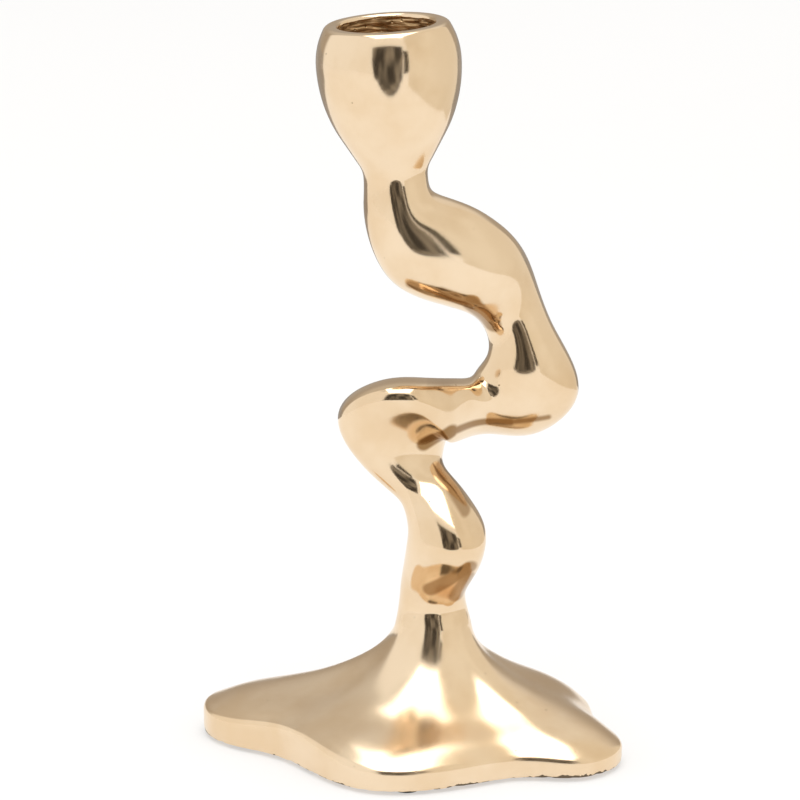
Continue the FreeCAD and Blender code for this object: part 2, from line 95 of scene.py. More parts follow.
def spline(knots, rows, places, closed=False):
    """A smooth cubic curve through rows of numbers at their knots, read at other places."""
    knots, rows, places = np.asarray(knots), np.asarray(rows, float), np.asarray(places)
    if closed:
        rows = np.concatenate([rows, rows[:1]])
    steps, last = np.diff(knots), len(knots) - 1
    rises = np.diff(rows, axis=0)
    table = np.zeros((last + 1, last + 1))
    wanted = np.zeros_like(rows)
    for index in range(last + 1):
        if closed or 0 < index < last:
            before, after = steps[(index - 1) % last], steps[index % last]
            table[index, (index - 1) % last] += 1 / before
            table[index, index] += 2 / before + 2 / after
            table[index, (index + 1) % last if closed else index + 1] += 1 / after
            wanted[index] = 3 * (rises[(index - 1) % last] / before**2 + rises[index % last] / after**2)
        else:
            end = slice(0, 4) if index == 0 else slice(-4, None)
            near = knots[end] - knots[index]
            powers = np.vander(near, 4, increasing=True)
            table[index, index] = 1
            wanted[index] = np.linalg.solve(powers, rows[end].reshape(4, -1))[1].reshape(rows[0].shape)
    if closed:
        table[last] = 0
        table[last, 0], table[last, last] = -1, 1
        wanted[last] = 0
    slopes = np.linalg.solve(table, wanted.reshape(last + 1, -1)).reshape(rows.shape)
    span = np.clip(np.searchsorted(knots, places, side="right") - 1, 0, last - 1)
    shape = (-1,) + (1,) * (rows.ndim - 1)
    along = ((places - knots[span]) / steps[span]).reshape(shape)
    size = steps[span].reshape(shape)
    before = rows[span] * (2 * along**3 - 3 * along**2 + 1)
    before = before + slopes[span] * size * (along**3 - 2 * along**2 + along)
    after = rows[span + 1] * (3 * along**2 - 2 * along**3)
    return before + after + slopes[span + 1] * size * (along**3 - along**2)


def ring_spacing(rings):
    """Knots that follow the mean distance from each ring to the next."""
    gaps = np.linalg.norm(np.diff(rings, axis=0), axis=2).mean(axis=1)
    return np.concatenate([[0], np.cumsum(gaps**spacing_power)])


def shell_mesh(name, rings, materials, zones, loop=False):
    """A closed mesh over rings of points. Each gap between rings has a zone, which is its material.

    Without a loop back to the first ring, each end is closed by a fan to its middle.
    """
    rings = np.asarray(rings)
    count, around = rings.shape[:2]
    points = rings.reshape(-1, 3)
    lower = np.arange(count - (0 if loop else 1))[:, None] * around
    upper = (lower + around) % (count * around)
    side, beside = np.arange(around), (np.arange(around) + 1) % around
    quads = np.stack([lower + side, lower + beside, upper + beside, upper + side], axis=2).reshape(-1, 4)
    faces, kinds = quads.tolist(), np.repeat(zones, around).tolist()
    if not loop:
        points = np.concatenate([points, [rings[0].mean(axis=0), rings[-1].mean(axis=0)]])
        first, final = count * around, (count - 1) * around
        faces += [(first, b, a) for a, b in zip(side, beside)]
        faces += [(first + 1, final + a, final + b) for a, b in zip(side, beside)]
        kinds += [zones[0]] * around + [zones[-1]] * around
    mesh = bpy.data.meshes.new(name)
    mesh.from_pydata(points.tolist(), [], [list(map(int, face)) for face in faces])
    for material in materials:
        mesh.materials.append(material)
    mesh.polygons.foreach_set("material_index", kinds)
    mesh.update()
    smooth_outside(mesh)
    return mesh


def smooth_outside(mesh):
    """Turns a closed mesh's faces outward, and smooths it but for its sharp corners."""
    if signed_volume(mesh) < 0:
        mesh.flip_normals()
    mesh.shade_smooth()
    mesh.set_sharp_from_angle(angle=sharp_corner)


def mesh_points(mesh):
    points = np.empty(len(mesh.vertices) * 3)
    mesh.vertices.foreach_get("co", points)
    return points.reshape(-1, 3)


def move_points(mesh, points):
    mesh.vertices.foreach_set("co", points.ravel())
    mesh.update()


def signed_volume(mesh):
    """Six times the volume inside a closed mesh, which is negative where it is inside out."""
    points = mesh_points(mesh)
    mesh.calc_loop_triangles()
    corners = np.empty(len(mesh.loop_triangles) * 3, np.int32)
    mesh.loop_triangles.foreach_get("vertices", corners)
    first, second, third = points[corners.reshape(-1, 3)].transpose(1, 0, 2)
    return np.einsum("ij,ij->i", first, np.cross(second, third)).sum()


def unevenness(points, shortest, longest, seed):
    """A smooth random field between about -1 and 1, made of waves of many directions."""
    random, count = np.random.default_rng(seed), 36
    waves = random.normal(size=(count, 3))
    waves /= np.linalg.norm(waves, axis=1, keepdims=True)
    waves *= 2 * math.pi / (shortest * (longest / shortest) ** random.random((count, 1)))
    return np.sin(points @ waves.T + random.random(count) * 2 * math.pi).sum(axis=1) / math.sqrt(count)


def dress(mesh, outward):
    """Moves each point of a mesh along its normal by its own distance."""
    normals = np.empty(len(mesh.vertices) * 3, np.float32)
    mesh.vertex_normals.foreach_get("vector", normals)
    move_points(mesh, mesh_points(mesh) + normals.reshape(-1, 3).astype(float) * outward[:, None])


def linked_object(name, data):
    """A new object in the scene that holds a mesh, a lamp or a camera."""
    linked = bpy.data.objects.new(name, data)
    bpy.context.scene.collection.objects.link(linked)
    return linked


hand_ground, seam_blend = 0.00003, 0.0025


def hand_grinding(points):
    """The slight unevenness that a hand-held polishing wheel leaves."""
    return hand_ground * unevenness(points, shortest=0.008, longest=0.024, seed=5)


def set_inputs(tree, node, inputs):
    """Links each input of a node to another node's output, or sets it to a value."""
    for name, value in inputs.items():
        if isinstance(value, bpy.types.NodeSocket):
            tree.links.new(value, node.inputs[name])
        else:
            node.inputs[name].default_value = value


def add_node(tree, kind, inputs=None, **settings):
    """A node with its settings and its inputs."""
    node = tree.nodes.new(kind)
    for name, value in settings.items():
        setattr(node, name, value)
    set_inputs(tree, node, inputs or {})
    return node


def stretched(tree, place, scale, turn=(0, 0, 0)):
    """Places for a pattern that is turned, and drawn out where the scale is small."""
    inputs = {"Vector": place, "Rotation": turn, "Scale": scale}
    return add_node(tree, "ShaderNodeMapping", inputs).outputs[0]


def noise(tree, place, scale, detail):
    inputs = {"Vector": place, "Scale": scale, "Detail": detail}
    return add_node(tree, "ShaderNodeTexNoise", inputs).outputs["Fac"]


def step_between(tree, value, low, high):
    """A mask that rises smoothly from 0 to 1 between two values."""
    ends = {"Value": value, "From Min": low, "From Max": high}
    return add_node(tree, "ShaderNodeMapRange", ends, interpolation_type="SMOOTHSTEP").outputs["Result"]


def math_node(tree, operation, *values):
    return add_node(tree, "ShaderNodeMath", dict(enumerate(values)), operation=operation).outputs[0]


def product(tree, result, *factors):
    for factor in factors:
        result = math_node(tree, "MULTIPLY", result, factor)
    return result


def vector_node(tree, operation, first, second=None, scale=None):
    """A vector calculation. A distance or a dot product gives a number, and the others a vector."""
    given = {0: first, 1: second, "Scale": scale}
    given = {name: value for name, value in given.items() if value is not None}
    results = add_node(tree, "ShaderNodeVectorMath", given, operation=operation).outputs
    return results["Value" if operation in ("DISTANCE", "DOT_PRODUCT") else "Vector"]


def axes(tree, place):
    return add_node(tree, "ShaderNodeSeparateXYZ", {0: place}).outputs


def mix_colour(tree, share, first, second):
    inputs = {0: share, 6: first, 7: second}
    return add_node(tree, "ShaderNodeMix", inputs, data_type="RGBA").outputs[2]


def node_group(kind, name, inputs, outputs):
    """An empty node group. Each input has its usual number, or its kind where it has none."""
    group = bpy.data.node_groups.new(name, kind)
    for label, value in inputs.items():
        named = isinstance(value, str)
        socket_kind = "NodeSocket" + (value if named else type(value).__name__.title())
        socket = group.interface.new_socket(name=label, in_out="INPUT", socket_type=socket_kind)
        if not named:
            socket.default_value = value
    for label, socket_kind in outputs.items():
        group.interface.new_socket(name=label, in_out="OUTPUT", socket_type=f"NodeSocket{socket_kind}")
    return group, group.nodes.new("NodeGroupInput").outputs, group.nodes.new("NodeGroupOutput").inputs


# Polishing marks: fine scratches in a few directions, and grain that scatters the gloss
inputs, outputs = {"Place": "Vector", "Fineness": 1.0}, {"Height": "Float", "Grain": "Float"}
marks, given, out = node_group("ShaderNodeTree", "polishing_marks", inputs, outputs)
fine_place = vector_node(marks, "SCALE", given["Place"], scale=given["Fineness"])
heights = []
for turn, scale in (((0.2, 0.1, 0.0), 900.0), ((0.1, 0.9, 0.6), 700.0), ((1.2, 0.3, 2.0), 800.0)):
    heights.append(noise(marks, stretched(marks, fine_place, (6, 6, 0.35), turn), scale, 1.0))
grain = noise(marks, fine_place, 2600.0, 2.0)
scratches = math_node(marks, "ADD", math_node(marks, "ADD", heights[0], heights[1]), heights[2])
marks.links.new(math_node(marks, "MULTIPLY_ADD", grain, 0.6, scratches), out["Height"])
marks.links.new(grain, out["Grain"])

# Casting pits: a few small round holes where gas was trapped in the sand mould
inputs = {"Place": "Vector", "Spacing": 0.004, "Radius": 0.05, "Share": 0.3}
pits, given, out = node_group("ShaderNodeTree", "casting_pits", inputs, {"Pit": "Float"})
cells = {"Vector": given["Place"], "Scale": math_node(pits, "DIVIDE", 1.0, given["Spacing"])}
cell = add_node(pits, "ShaderNodeTexVoronoi", cells)
chosen = add_node(pits, "ShaderNodeSeparateColor", {"Color": cell.outputs["Color"]}).outputs["Red"]
hole = step_between(pits, cell.outputs["Distance"], given["Radius"], 0.0)
kept = math_node(pits, "LESS_THAN", chosen, given["Share"])
pits.links.new(product(pits, hole, kept), out["Pit"])


def grouped(tree, group, **inputs):
    return add_node(tree, "ShaderNodeGroup", inputs, node_tree=group).outputs


def new_material(name, kind="ShaderNodeBsdfPrincipled"):
    """A material with its own Object coordinates and one shader, wired to its output."""
    material = bpy.data.materials.new(name)
    material.use_nodes = True
    tree = material.node_tree
    tree.nodes.clear()
    place = add_node(tree, "ShaderNodeTexCoord").outputs["Object"]
    shader = add_node(tree, kind)
    output = add_node(tree, "ShaderNodeOutputMaterial")
    tree.links.new(shader.outputs[0], output.inputs["Surface"])
    return material, tree, place, shader


def relief(tree, depth, height):
    """Fine bumps of a given depth, for a shader's Normal."""
    inputs = {"Strength": 1.0, "Distance": depth, "Height": height}
    return add_node(tree, "ShaderNodeBump", inputs).outputs[0]


brass_colour, brass_warm = (0.88, 0.70, 0.495, 1), (0.81, 0.61, 0.395, 1)
raw_colour, raw_dark = (0.80, 0.57, 0.32, 1), (0.36, 0.23, 0.115, 1)
# Colour of the dark ragged line along the lower edge, just above the table
lower_edge_dark = (0.16, 0.12, 0.08, 1)
line_drop, line_sway, line_ragged = 0.0011, 0.0007, 0.0019
brushed_low, brushed_high = 0.024, 0.030
# Painted reflection: brown bands on the front of the stem, under its bends, painted into the colour in place
# of reflections of the shaded table and of the brass itself. Lines are given by reach and height of both
# ends, with half a width and a strength
painted_reflection_colour, painted_reflection_soft, painted_reflection_back, painted_reflection_fade = (0.27, 0.135, 0.036, 1), 0.0005, 0.009, 0.001
painted_reflection_lines = [
    ((-0.0002, 0.1134), (0.0067, 0.1114), 0.0011, 0.65),
    ((0.0067, 0.1114), (0.0137, 0.1085), 0.0016, 0.70),
    ((0.0137, 0.1085), (0.0188, 0.1015), 0.0021, 0.75),
    ((0.0031, 0.0752), (0.0091, 0.0783), 0.0018, 0.90),
    ((0.0091, 0.0783), (0.0232, 0.0779), 0.0010, 0.88),
    ((0.0232, 0.0779), (0.0320, 0.0789), 0.0007, 0.80),
    ((0.0040, 0.0898), (0.0161, 0.0886), 0.0005, 0.25),
    ((0.0068, 0.0690), (0.0125, 0.0608), 0.0012, 0.60),
    ((0.0045, 0.0415), (0.0135, 0.0480), 0.0018, 0.70),
    ((0.0105, 0.0392), (0.0130, 0.0450), 0.0018, 0.65),
]


def near_line(tree, place, start, end, reach):
    """A mask along a straight line in the plane of reach and height, with soft sides."""
    start, end = Vector((start[0], 0, start[1])), Vector((end[0], 0, end[1]))
    line = end - start
    away = vector_node(tree, "SUBTRACT", place, start)
    share = vector_node(tree, "DOT_PRODUCT", away, line / line.length_squared)
    share = add_node(tree, "ShaderNodeClamp", {"Value": share}).outputs[0]
    gap = vector_node(tree, "DISTANCE", away, vector_node(tree, "SCALE", line, scale=share))
    return step_between(tree, gap, reach + painted_reflection_soft, reach - painted_reflection_soft)


def browned(tree, place):
    """How strongly the painted reflection shows: the strongest of the lines, on the front half of the stem.
    """
    parts = axes(tree, place)
    flat = add_node(tree, "ShaderNodeCombineXYZ", {"X": parts["X"], "Z": parts["Z"]}).outputs[0]
    deepest = 0.0
    for start, end, reach, strength in painted_reflection_lines:
        mask = product(tree, near_line(tree, flat, start, end, reach), strength)
        deepest = math_node(tree, "MAXIMUM", mask, deepest)
    front = step_between(tree, parts["Y"], painted_reflection_back + painted_reflection_fade, painted_reflection_back - painted_reflection_fade)
    return product(tree, deepest, front)


def polished_brass():
    """Brass ground and polished by hand, with pits, brown painted reflections on the front of the stem's
    bends, and a dark raw line along the table.
    """
    material, tree, place, shader = new_material("polished_brass")
    polish = grouped(tree, marks, Place=place, Fineness=1.0)
    pit = grouped(tree, pits, Place=place, Spacing=0.0034, Radius=0.085, Share=0.30)["Pit"]
    tone = step_between(tree, noise(tree, place, 60.0, 7.0), 0.35, 0.7)
    height = axes(tree, place)["Z"]
    ragged = noise(tree, place, 650.0, 5.0)
    stretch = step_between(tree, noise(tree, place, 38.0, 2.0), 0.42, 0.62)
    line_low = math_node(tree, "MULTIPLY_ADD", stretch, line_sway, table_gap - line_drop)
    line_top = math_node(tree, "MULTIPLY_ADD", ragged, line_ragged, line_low)
    raw = math_node(tree, "LESS_THAN", height, line_top)
    colour = mix_colour(tree, tone, brass_colour, brass_warm)
    # Painted reflection: brown bands along the front of the stem's bends stand in for reflections of the
    # shaded table and of the brass
    colour = mix_colour(tree, browned(tree, place), colour, painted_reflection_colour)
    colour = mix_colour(tree, pit, colour, raw_dark)
    brushed = step_between(tree, height, table_gap + brushed_high, table_gap + brushed_low)
    gloss = math_node(tree, "MULTIPLY_ADD", brushed, 0.09, 0.085)
    gloss = math_node(tree, "MULTIPLY_ADD", polish["Grain"], 0.06, gloss)
    rough = math_node(tree, "MAXIMUM", gloss, product(tree, raw, 0.55))
    sunk = math_node(tree, "MULTIPLY_ADD", pit, -30.0, polish["Height"])
    sunk = math_node(tree, "MULTIPLY_ADD", product(tree, raw, ragged), -40.0, sunk)
    set_inputs(tree, shader, {
        "Base Color": mix_colour(tree, raw, colour, lower_edge_dark), "Roughness": rough,
        "Metallic": 1.0, "Normal": relief(tree, 0.000002, sunk)})
    return material


def raw_brass():
    """Brass as it leaves the sand mould: dull, grainy and darker in its hollows."""
    material, tree, place, shader = new_material("raw_brass")
    coarse = noise(tree, stretched(tree, place, (0.35, 0.35, 1.5)), 900.0, 5.0)
    pit = grouped(tree, pits, Place=place, Spacing=0.0012, Radius=0.30, Share=0.5)["Pit"]
    shade = step_between(tree, coarse, 0.30, 0.68)
    colour = mix_colour(tree, shade, raw_dark, raw_colour)
    height = math_node(tree, "MULTIPLY_ADD", pit, -0.8, coarse)
    set_inputs(tree, shader, {
        "Base Color": mix_colour(tree, pit, colour, raw_dark),
        "Roughness": math_node(tree, "MULTIPLY_ADD", coarse, 0.3, 0.22),
        "Metallic": 1.0, "Normal": relief(tree, 0.00025, height)})
    return material


polished, raw_cast = polished_brass(), raw_brass()

foot_around, foot_rows, hollow_rows = 352, 120, 44
foot_points = np.array(foot_point_shares) * [foot_length / 2, foot_width / 2, foot_edge, foot_crown]
outline, edges, crowns = foot_points[:, :2], foot_points[:, 2], foot_points[:, 3]
spaces = np.linalg.norm(np.roll(outline, -1, axis=0) - outline, axis=1)
outline_knots = np.concatenate([[0], np.cumsum(np.sqrt(spaces))])
neck_centre = np.array([neck_x, 0.0])
reaches = np.linalg.norm(outline - neck_centre, axis=1)


def foot_ring(out_share, edge_share, rise_share):
    """Points of one ring of the foot, between the outline and the round neck."""
    out = (neck_radius + (reaches - neck_radius) * out_share) / reaches
    heights = edges * edge_share + table_gap
    if rise_share > 0:
        heights = heights + (foot_height - edges) * rise_share + crowns * 4 * out_share * (1 - out_share)
    return np.column_stack([neck_centre + (outline - neck_centre) * out[:, None], heights])


def around_foot(ring):
    """A ring's points made one smooth closed curve and read at even steps."""
    places = np.linspace(0, outline_knots[-1], foot_around, endpoint=False)
    return spline(outline_knots, ring, places, closed=True)


def skin(rings, curves, rows):
    """Smooth rows of points through closed curves, spaced as the rings that they were made from."""
    knots = ring_spacing(np.array(rings))
    return spline(knots, curves, np.linspace(0, knots[-1], rows))


def skin_foot(rings, rows):
    return skin(rings, [around_foot(ring) for ring in rings], rows)


def round_ring(like, radius, height):
    """A circle about the neck's axis whose points keep the directions of another ring's."""
    away = like[:, :2] - neck_centre
    away = away / np.linalg.norm(away, axis=1, keepdims=True)
    return np.column_stack([neck_centre + away * radius, np.full(len(like), height)])


def run_flush(rows, middle, axis, slope, reach):
    """Eases the rows next to a joint in or out, so that the pieces on both sides meet at one slope."""
    axis = np.array(axis)
    away = (rows - middle) @ axis
    sideways = rows - middle - away[..., None] * axis
    radii = np.linalg.norm(sideways, axis=-1)
    found = (radii[1] - radii[0]) / (away[1] - away[0])
    eased = (slope - found) * away * (1 - np.clip(away / reach, 0, 1)) ** 2
    return rows + sideways * (np.where(away < reach, eased, 0) / np.maximum(radii, 1e-6))[..., None]


neck_slope, flush_reach = math.tan(math.radians(12)), 0.004
top_z, boss_z = table_gap + foot_height, table_gap + boss_height
neck_top = np.array([neck_x, 0, top_z])
outside = skin_foot([foot_ring(*shares) for shares in foot_ring_shares], foot_rows)
outside = run_flush(outside[::-1], neck_top, (0, 0, -1), neck_slope, flush_reach)[::-1]
land = neck_centre + (outline - neck_centre) * ((reaches - foot_land) / reaches)[:, None]
land = np.column_stack([land, np.full(len(land), table_gap)])
wall_drop = np.array([0, 0, foot_wall])
ceiling = foot_ring(hollow_top_share, 1, 1)
ceiling[:, 2] = table_gap + hollow_height
hollow_rings = [land] + [foot_ring(out, 1, rise) - wall_drop for out, rise in hollow_ring_shares] + [ceiling]
hollow = skin_foot(hollow_rings, hollow_rows)
inner = [
    round_ring(outside[-1], boss_radius, table_gap + hollow_height),
    round_ring(outside[-1], boss_radius, boss_z),
    round_ring(outside[-1], screw_way, boss_z),
    round_ring(outside[-1], screw_way, top_z),
]
foot_rings = np.concatenate([outside, np.array(inner[::-1]), hollow[::-1]])
foot_zones = [0] * (foot_rows - 1) + [1] * (len(foot_rings) - foot_rows + 1)
foot_mesh = shell_mesh("foot_casting", foot_rings, [polished, raw_cast], foot_zones, loop=True)
places = mesh_points(foot_mesh)
sand_depth, sand_height = 0.00012, 0.0022
sand = sand_depth * unevenness(places, shortest=0.0018, longest=0.006, seed=9)
below = np.clip((table_gap + sand_height - places[:, 2]) / sand_height, 0, 1)
is_outside = np.arange(len(places)) < foot_rows * foot_around
fade = np.clip((top_z - places[:, 2]) / seam_blend, 0, 1)
moves = np.where(is_outside, fade * hand_grinding(places) + below * np.minimum(sand, 0), 0)
dress(foot_mesh, moves)
foot_casting = linked_object("foot_casting", foot_mesh)
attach(foot_casting, "root")
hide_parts("foot")

# Foot pads
# Four small discs punched from black felt and stuck to the land under the foot, so that the metal
# stands level and doesn't scratch the table.
pad_radius, pad_inset, pad_edge, fibre_depth = 0.0030, 0.0050, 0.00025, 0.00005
felt_dark, felt_pale = (0.012, 0.012, 0.011, 1), (0.055, 0.053, 0.049, 1)
pad_points = [2, 7, 11, 14]


def geometry_tree(name, inputs):
    """An empty Geometry Nodes tree that takes and gives geometry, with named inputs."""
    geometry = {"Geometry": "Geometry"}
    return node_group("GeometryNodeTree", name, geometry | inputs, geometry)


def end_tree(tree, out, geometry, material):
    """Ends a tree: its instances are made real, and its faces get their material."""
    real = add_node(tree, "GeometryNodeRealizeInstances", {"Geometry": geometry}).outputs[0]
    covered = add_node(tree, "GeometryNodeSetMaterial", {"Geometry": real, "Material": material})
    tree.links.new(covered.outputs[0], out["Geometry"])


def grown(name, start, tree, **values):
    """The plain mesh that a tree makes of a starting mesh, with the tree's inputs set."""
    holder = linked_object(f"{name}_start", start)
    modifier = holder.modifiers.new(name, "NODES")
    modifier.node_group = tree
    for item in tree.interface.items_tree:
        if item.in_out == "INPUT" and item.name in values:
            modifier[item.identifier] = values[item.name]
    reading = bpy.context.evaluated_depsgraph_get()
    mesh = bpy.data.meshes.new_from_object(holder.evaluated_get(reading), depsgraph=reading)
    mesh.name = name
    holder.modifiers.remove(modifier)
    bpy.data.objects.remove(holder)
    return mesh


def black_felt():
    """Pressed wool felt, with short loose fibres on its faces."""
    material, tree, place, shader = new_material("black_felt")
    matted = noise(tree, place, 2200.0, 5.0)
    hairs = noise(tree, stretched(tree, place, (1, 6, 1), (0.3, 0.7, 0.5)), 3200.0, 2.0)
    shade = step_between(tree, product(tree, matted, hairs), 0.12, 0.38)
    set_inputs(tree, shader, {
        "Base Color": mix_colour(tree, shade, felt_dark, felt_pale), "Roughness": 0.95, "Sheen Weight": 0.35,
        "Normal": relief(tree, 0.0001, math_node(tree, "ADD", matted, hairs))})
    return material


def punched_discs():
    """A felt disc with soft, uneven edges on every point of the starting mesh."""
    tree, given, out = geometry_tree("punched_discs", {
        "Radius": 0.003, "Thickness": 0.001, "Edge": 0.00025, "Fibre depth": 0.00005, "Felt": "Material"})
    sizes = {"Radius": given["Radius"], "Depth": given["Thickness"]}
    steps = {"Vertices": 56, "Side Segments": 8, "Fill Segments": 7}
    disc = add_node(tree, "GeometryNodeMeshCylinder", sizes | steps, fill_type="TRIANGLE_FAN").outputs["Mesh"]
    spot = add_node(tree, "GeometryNodeInputPosition").outputs[0]
    square_top = math_node(tree, "MULTIPLY_ADD", given["Thickness"], 0.5, product(tree, given["Edge"], -1.0))
    over = math_node(tree, "SUBTRACT", math_node(tree, "ABSOLUTE", axes(tree, spot)["Z"]), square_top)
    over = math_node(tree, "MAXIMUM", math_node(tree, "DIVIDE", over, given["Edge"]), 0.0)
    drawn_in = product(tree, math_node(tree, "DIVIDE", given["Edge"], given["Radius"]), -1.0)
    shrink = math_node(tree, "MULTIPLY_ADD", product(tree, over, over), drawn_in, 1.0)
    scale = add_node(tree, "ShaderNodeCombineXYZ", {0: shrink, 1: shrink, 2: 1.0}).outputs[0]
    softened = {"Geometry": disc, "Position": vector_node(tree, "MULTIPLY", spot, scale)}
    soft_disc = add_node(tree, "GeometryNodeSetPosition", softened).outputs[0]
    fuzz = add_node(tree, "ShaderNodeTexNoise", {"Scale": 2500.0}).outputs["Fac"]
    sunk = product(tree, fuzz, given["Fibre depth"], -1.0)
    away = add_node(tree, "GeometryNodeInputNormal").outputs["Normal"]
    inward = vector_node(tree, "SCALE", away, scale=sunk)
    fuzzy = add_node(tree, "GeometryNodeSetPosition", {"Geometry": soft_disc, "Offset": inward}).outputs[0]
    places = {"Points": given["Geometry"], "Instance": fuzzy}
    placed = add_node(tree, "GeometryNodeInstanceOnPoints", places).outputs[0]
    end_tree(tree, out, placed, given["Felt"])
    return tree


inset_share = (pad_inset / reaches[pad_points])[:, None]
pad_spots = outline[pad_points] + (neck_centre - outline[pad_points]) * inset_share
pad_starts = bpy.data.meshes.new("pad_places")
pad_starts.from_pydata([(x, y, table_gap / 2) for x, y in pad_spots], [], [])
pad_sizes = {"Radius": pad_radius, "Thickness": table_gap, "Edge": pad_edge, "Fibre depth": fibre_depth}
pads_mesh = grown("felt_pads", pad_starts, punched_discs(), Felt=black_felt(), **pad_sizes)
pads_mesh.shade_smooth()
felt_pads = linked_object("felt_pads", pads_mesh)
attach(felt_pads, "root")
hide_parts("foot_pad_1", "foot_pad_2", "foot_pad_3", "foot_pad_4")

# Stem
# One thick bar of cast brass that swings right, left and back over the foot. Its oval section
# swells in the bends, and it is ground by hand to run into the neck below and the cup above.
stem_height, stem_reach, stem_sway, stem_girth = 0.1065, 0.0232, 0.0120, 0.0129
seat_offset, waist_radius, cup_lean = 0.0088, 0.0074, math.radians(3.4)
tap_radius, stud_tap, screw_tap = 0.0031, 0.0085, 0.0112
# Stations from the cup's seat down to the neck: shares of height, reach, sway and the two girths,
# the turn of the right-hand side above the level and the lean of the front in degrees, and the
# power of the section's outline, which is 2 for an oval and higher where the sides are ground flat
station_shares = [
    (0.985, 0.000, 0.000, 0.578, 0.574, 5, 0, 2.0),
    (0.943, -0.004, 0.025, 0.643, 0.670, 22, 0, 2.0),
    (0.872, 0.120, 0.050, 0.860, 0.770, 53, 0, 2.0),
    (0.825, 0.472, 0.150, 0.938, 0.800, 62, 0, 2.0),
    (0.764, 0.879, 0.450, 0.783, 0.744, 53, 0, 2.0),
    (0.687, 1.038, 0.875, 0.612, 0.640, 36, 0, 2.0),
    (0.626, 1.126, 0.833, 0.612, 0.640, 9, 0, 2.0),
    (0.538, 1.204, 0.775, 0.899, 0.640, -23, 6, 2.2),
    (0.469, 0.897, 0.985, 0.791, 0.660, -52, 18, 3.2),
    (0.463, 0.659, 0.880, 0.620, 0.620, -72, 38, 4.8),
    (0.472, 0.425, 0.317, 0.574, 0.600, -80, 24, 5.0),
    (0.482, 0.216, -0.117, 0.660, 0.630, -68, 26, 5.5),
    (0.482, 0.007, -0.100, 0.814, 0.682, -48, 28, 5.5),
    (0.426, -0.264, 0.083, 1.000, 0.700, -23, 18, 3.6),
    (0.327, -0.056, -0.058, 0.574, 0.620, 13, 4, 2.2),
    (0.296, 0.086, -0.283, 0.558, 0.640, 14, 0, 2.0),
    (0.230, 0.212, -0.575, 0.690, 0.720, 6, -4, 2.0),
    (0.198, 0.203, -0.650, 0.713, 0.698, 3, -8, 2.0),
    (0.152, 0.147, -0.510, 0.682, 0.667, -2, -10, 2.0),
    (0.085, 0.036, -0.120, 0.597, 0.597, -5, -6, 2.0),
    (0.047, 0.009, 0.020, 0.605, 0.605, 0, 0, 2.0),
]
stem_around, stem_rows, bare_end = 128, 400, 0.0005
ring_steps = 12
ring_factor = 3 / (2 + math.cos(2 * math.pi / ring_steps))


def ring_blend(count):
    """Weights that turn the control points of a closed, evenly divided cubic spline into points."""
    places = np.arange(count) * ring_steps / count
    first = places.astype(int)
    part = places - first
    rising = 1 + 3 * part + 3 * part**2 - 3 * part**3
    shares = [(1 - part) ** 3, 3 * part**3 - 6 * part**2 + 4, rising, part**3]
    blend = np.zeros((count, ring_steps))
    for offset, share in enumerate(shares, start=-1):
        blend[np.arange(count), (first + offset) % ring_steps] += share / 6
    return blend


def section(height, reach, sway, across, thick, turn, lean=0, power=2):
    """One closed section of the stem, turned about the depth axis, with a leaning front."""
    angles = 2 * math.pi * np.arange(ring_steps) / ring_steps
    fill = (np.abs(np.sin(angles)) ** power + np.abs(np.cos(angles)) ** power) ** (-1 / power) * ring_factor
    out = -across * np.sin(angles) * fill
    back = thick * np.cos(angles) * fill + out * math.tan(lean)
    x = neck_x - seat_offset * height + stem_reach * reach
    z = top_z + stem_height * height
    points = np.column_stack([x + out * math.cos(turn), stem_sway * sway + back, z + out * math.sin(turn)])
    return ring_blend(stem_around) @ points


sections = [section(1, 0, 0, waist_radius, waist_radius, cup_lean)]
for *spot, across, thick, turn, lean, power in station_shares:
    girths = (stem_girth * across, stem_girth * thick)
    sections.append(section(*spot, *girths, math.radians(turn), math.radians(lean), power))
sections.append(section(0, 0, 0, neck_radius, neck_radius, 0))
stem_side = skin(sections, sections, stem_rows)
seat = np.array([neck_x - seat_offset, 0, top_z + stem_height])
stem_side = run_flush(stem_side, seat, (math.sin(cup_lean), 0, -math.cos(cup_lean)), 0, flush_reach)
stem_side = run_flush(stem_side[::-1], neck_top, (0, 0, 1), -neck_slope, flush_reach)[::-1]


def tapped_hole(ring, depth):
    """Rings of a tapped hole square into a flat end, from its mouth to its bottom."""
    middle = ring.mean(axis=0)
    inward = np.cross(ring[stem_around // 4] - middle, ring[0] - middle)
    inward = inward / np.linalg.norm(inward) * np.sign(inward[2]) * depth
    mouth = middle + (ring - middle) / np.linalg.norm(ring - middle, axis=1, keepdims=True) * tap_radius
    return [mouth, mouth + inward]


stud_hole, screw_hole = tapped_hole(stem_side[0], -stud_tap), tapped_hole(stem_side[-1], screw_tap)
stem_rings = np.concatenate([stud_hole[::-1], stem_side, screw_hole])
stem_zones = [1, 1] + [0] * (stem_rows - 1) + [1, 1]
stem_mesh = shell_mesh("stem_casting", stem_rings, [polished, raw_cast], stem_zones)
stem_points = mesh_points(stem_mesh)
is_side = np.zeros(len(stem_points), bool)
is_side[2 * stem_around:(2 + stem_rows) * stem_around] = True
from_ends = np.minimum(stem_points[:, 2] - top_z, top_z + stem_height - stem_points[:, 2])
fade = np.clip((from_ends - bare_end) / seam_blend, 0, 1)
dress(stem_mesh, np.where(is_side, fade * hand_grinding(stem_points), 0))
stem_casting = linked_object("stem_casting", stem_mesh)
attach(stem_casting, "root")
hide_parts("stem")

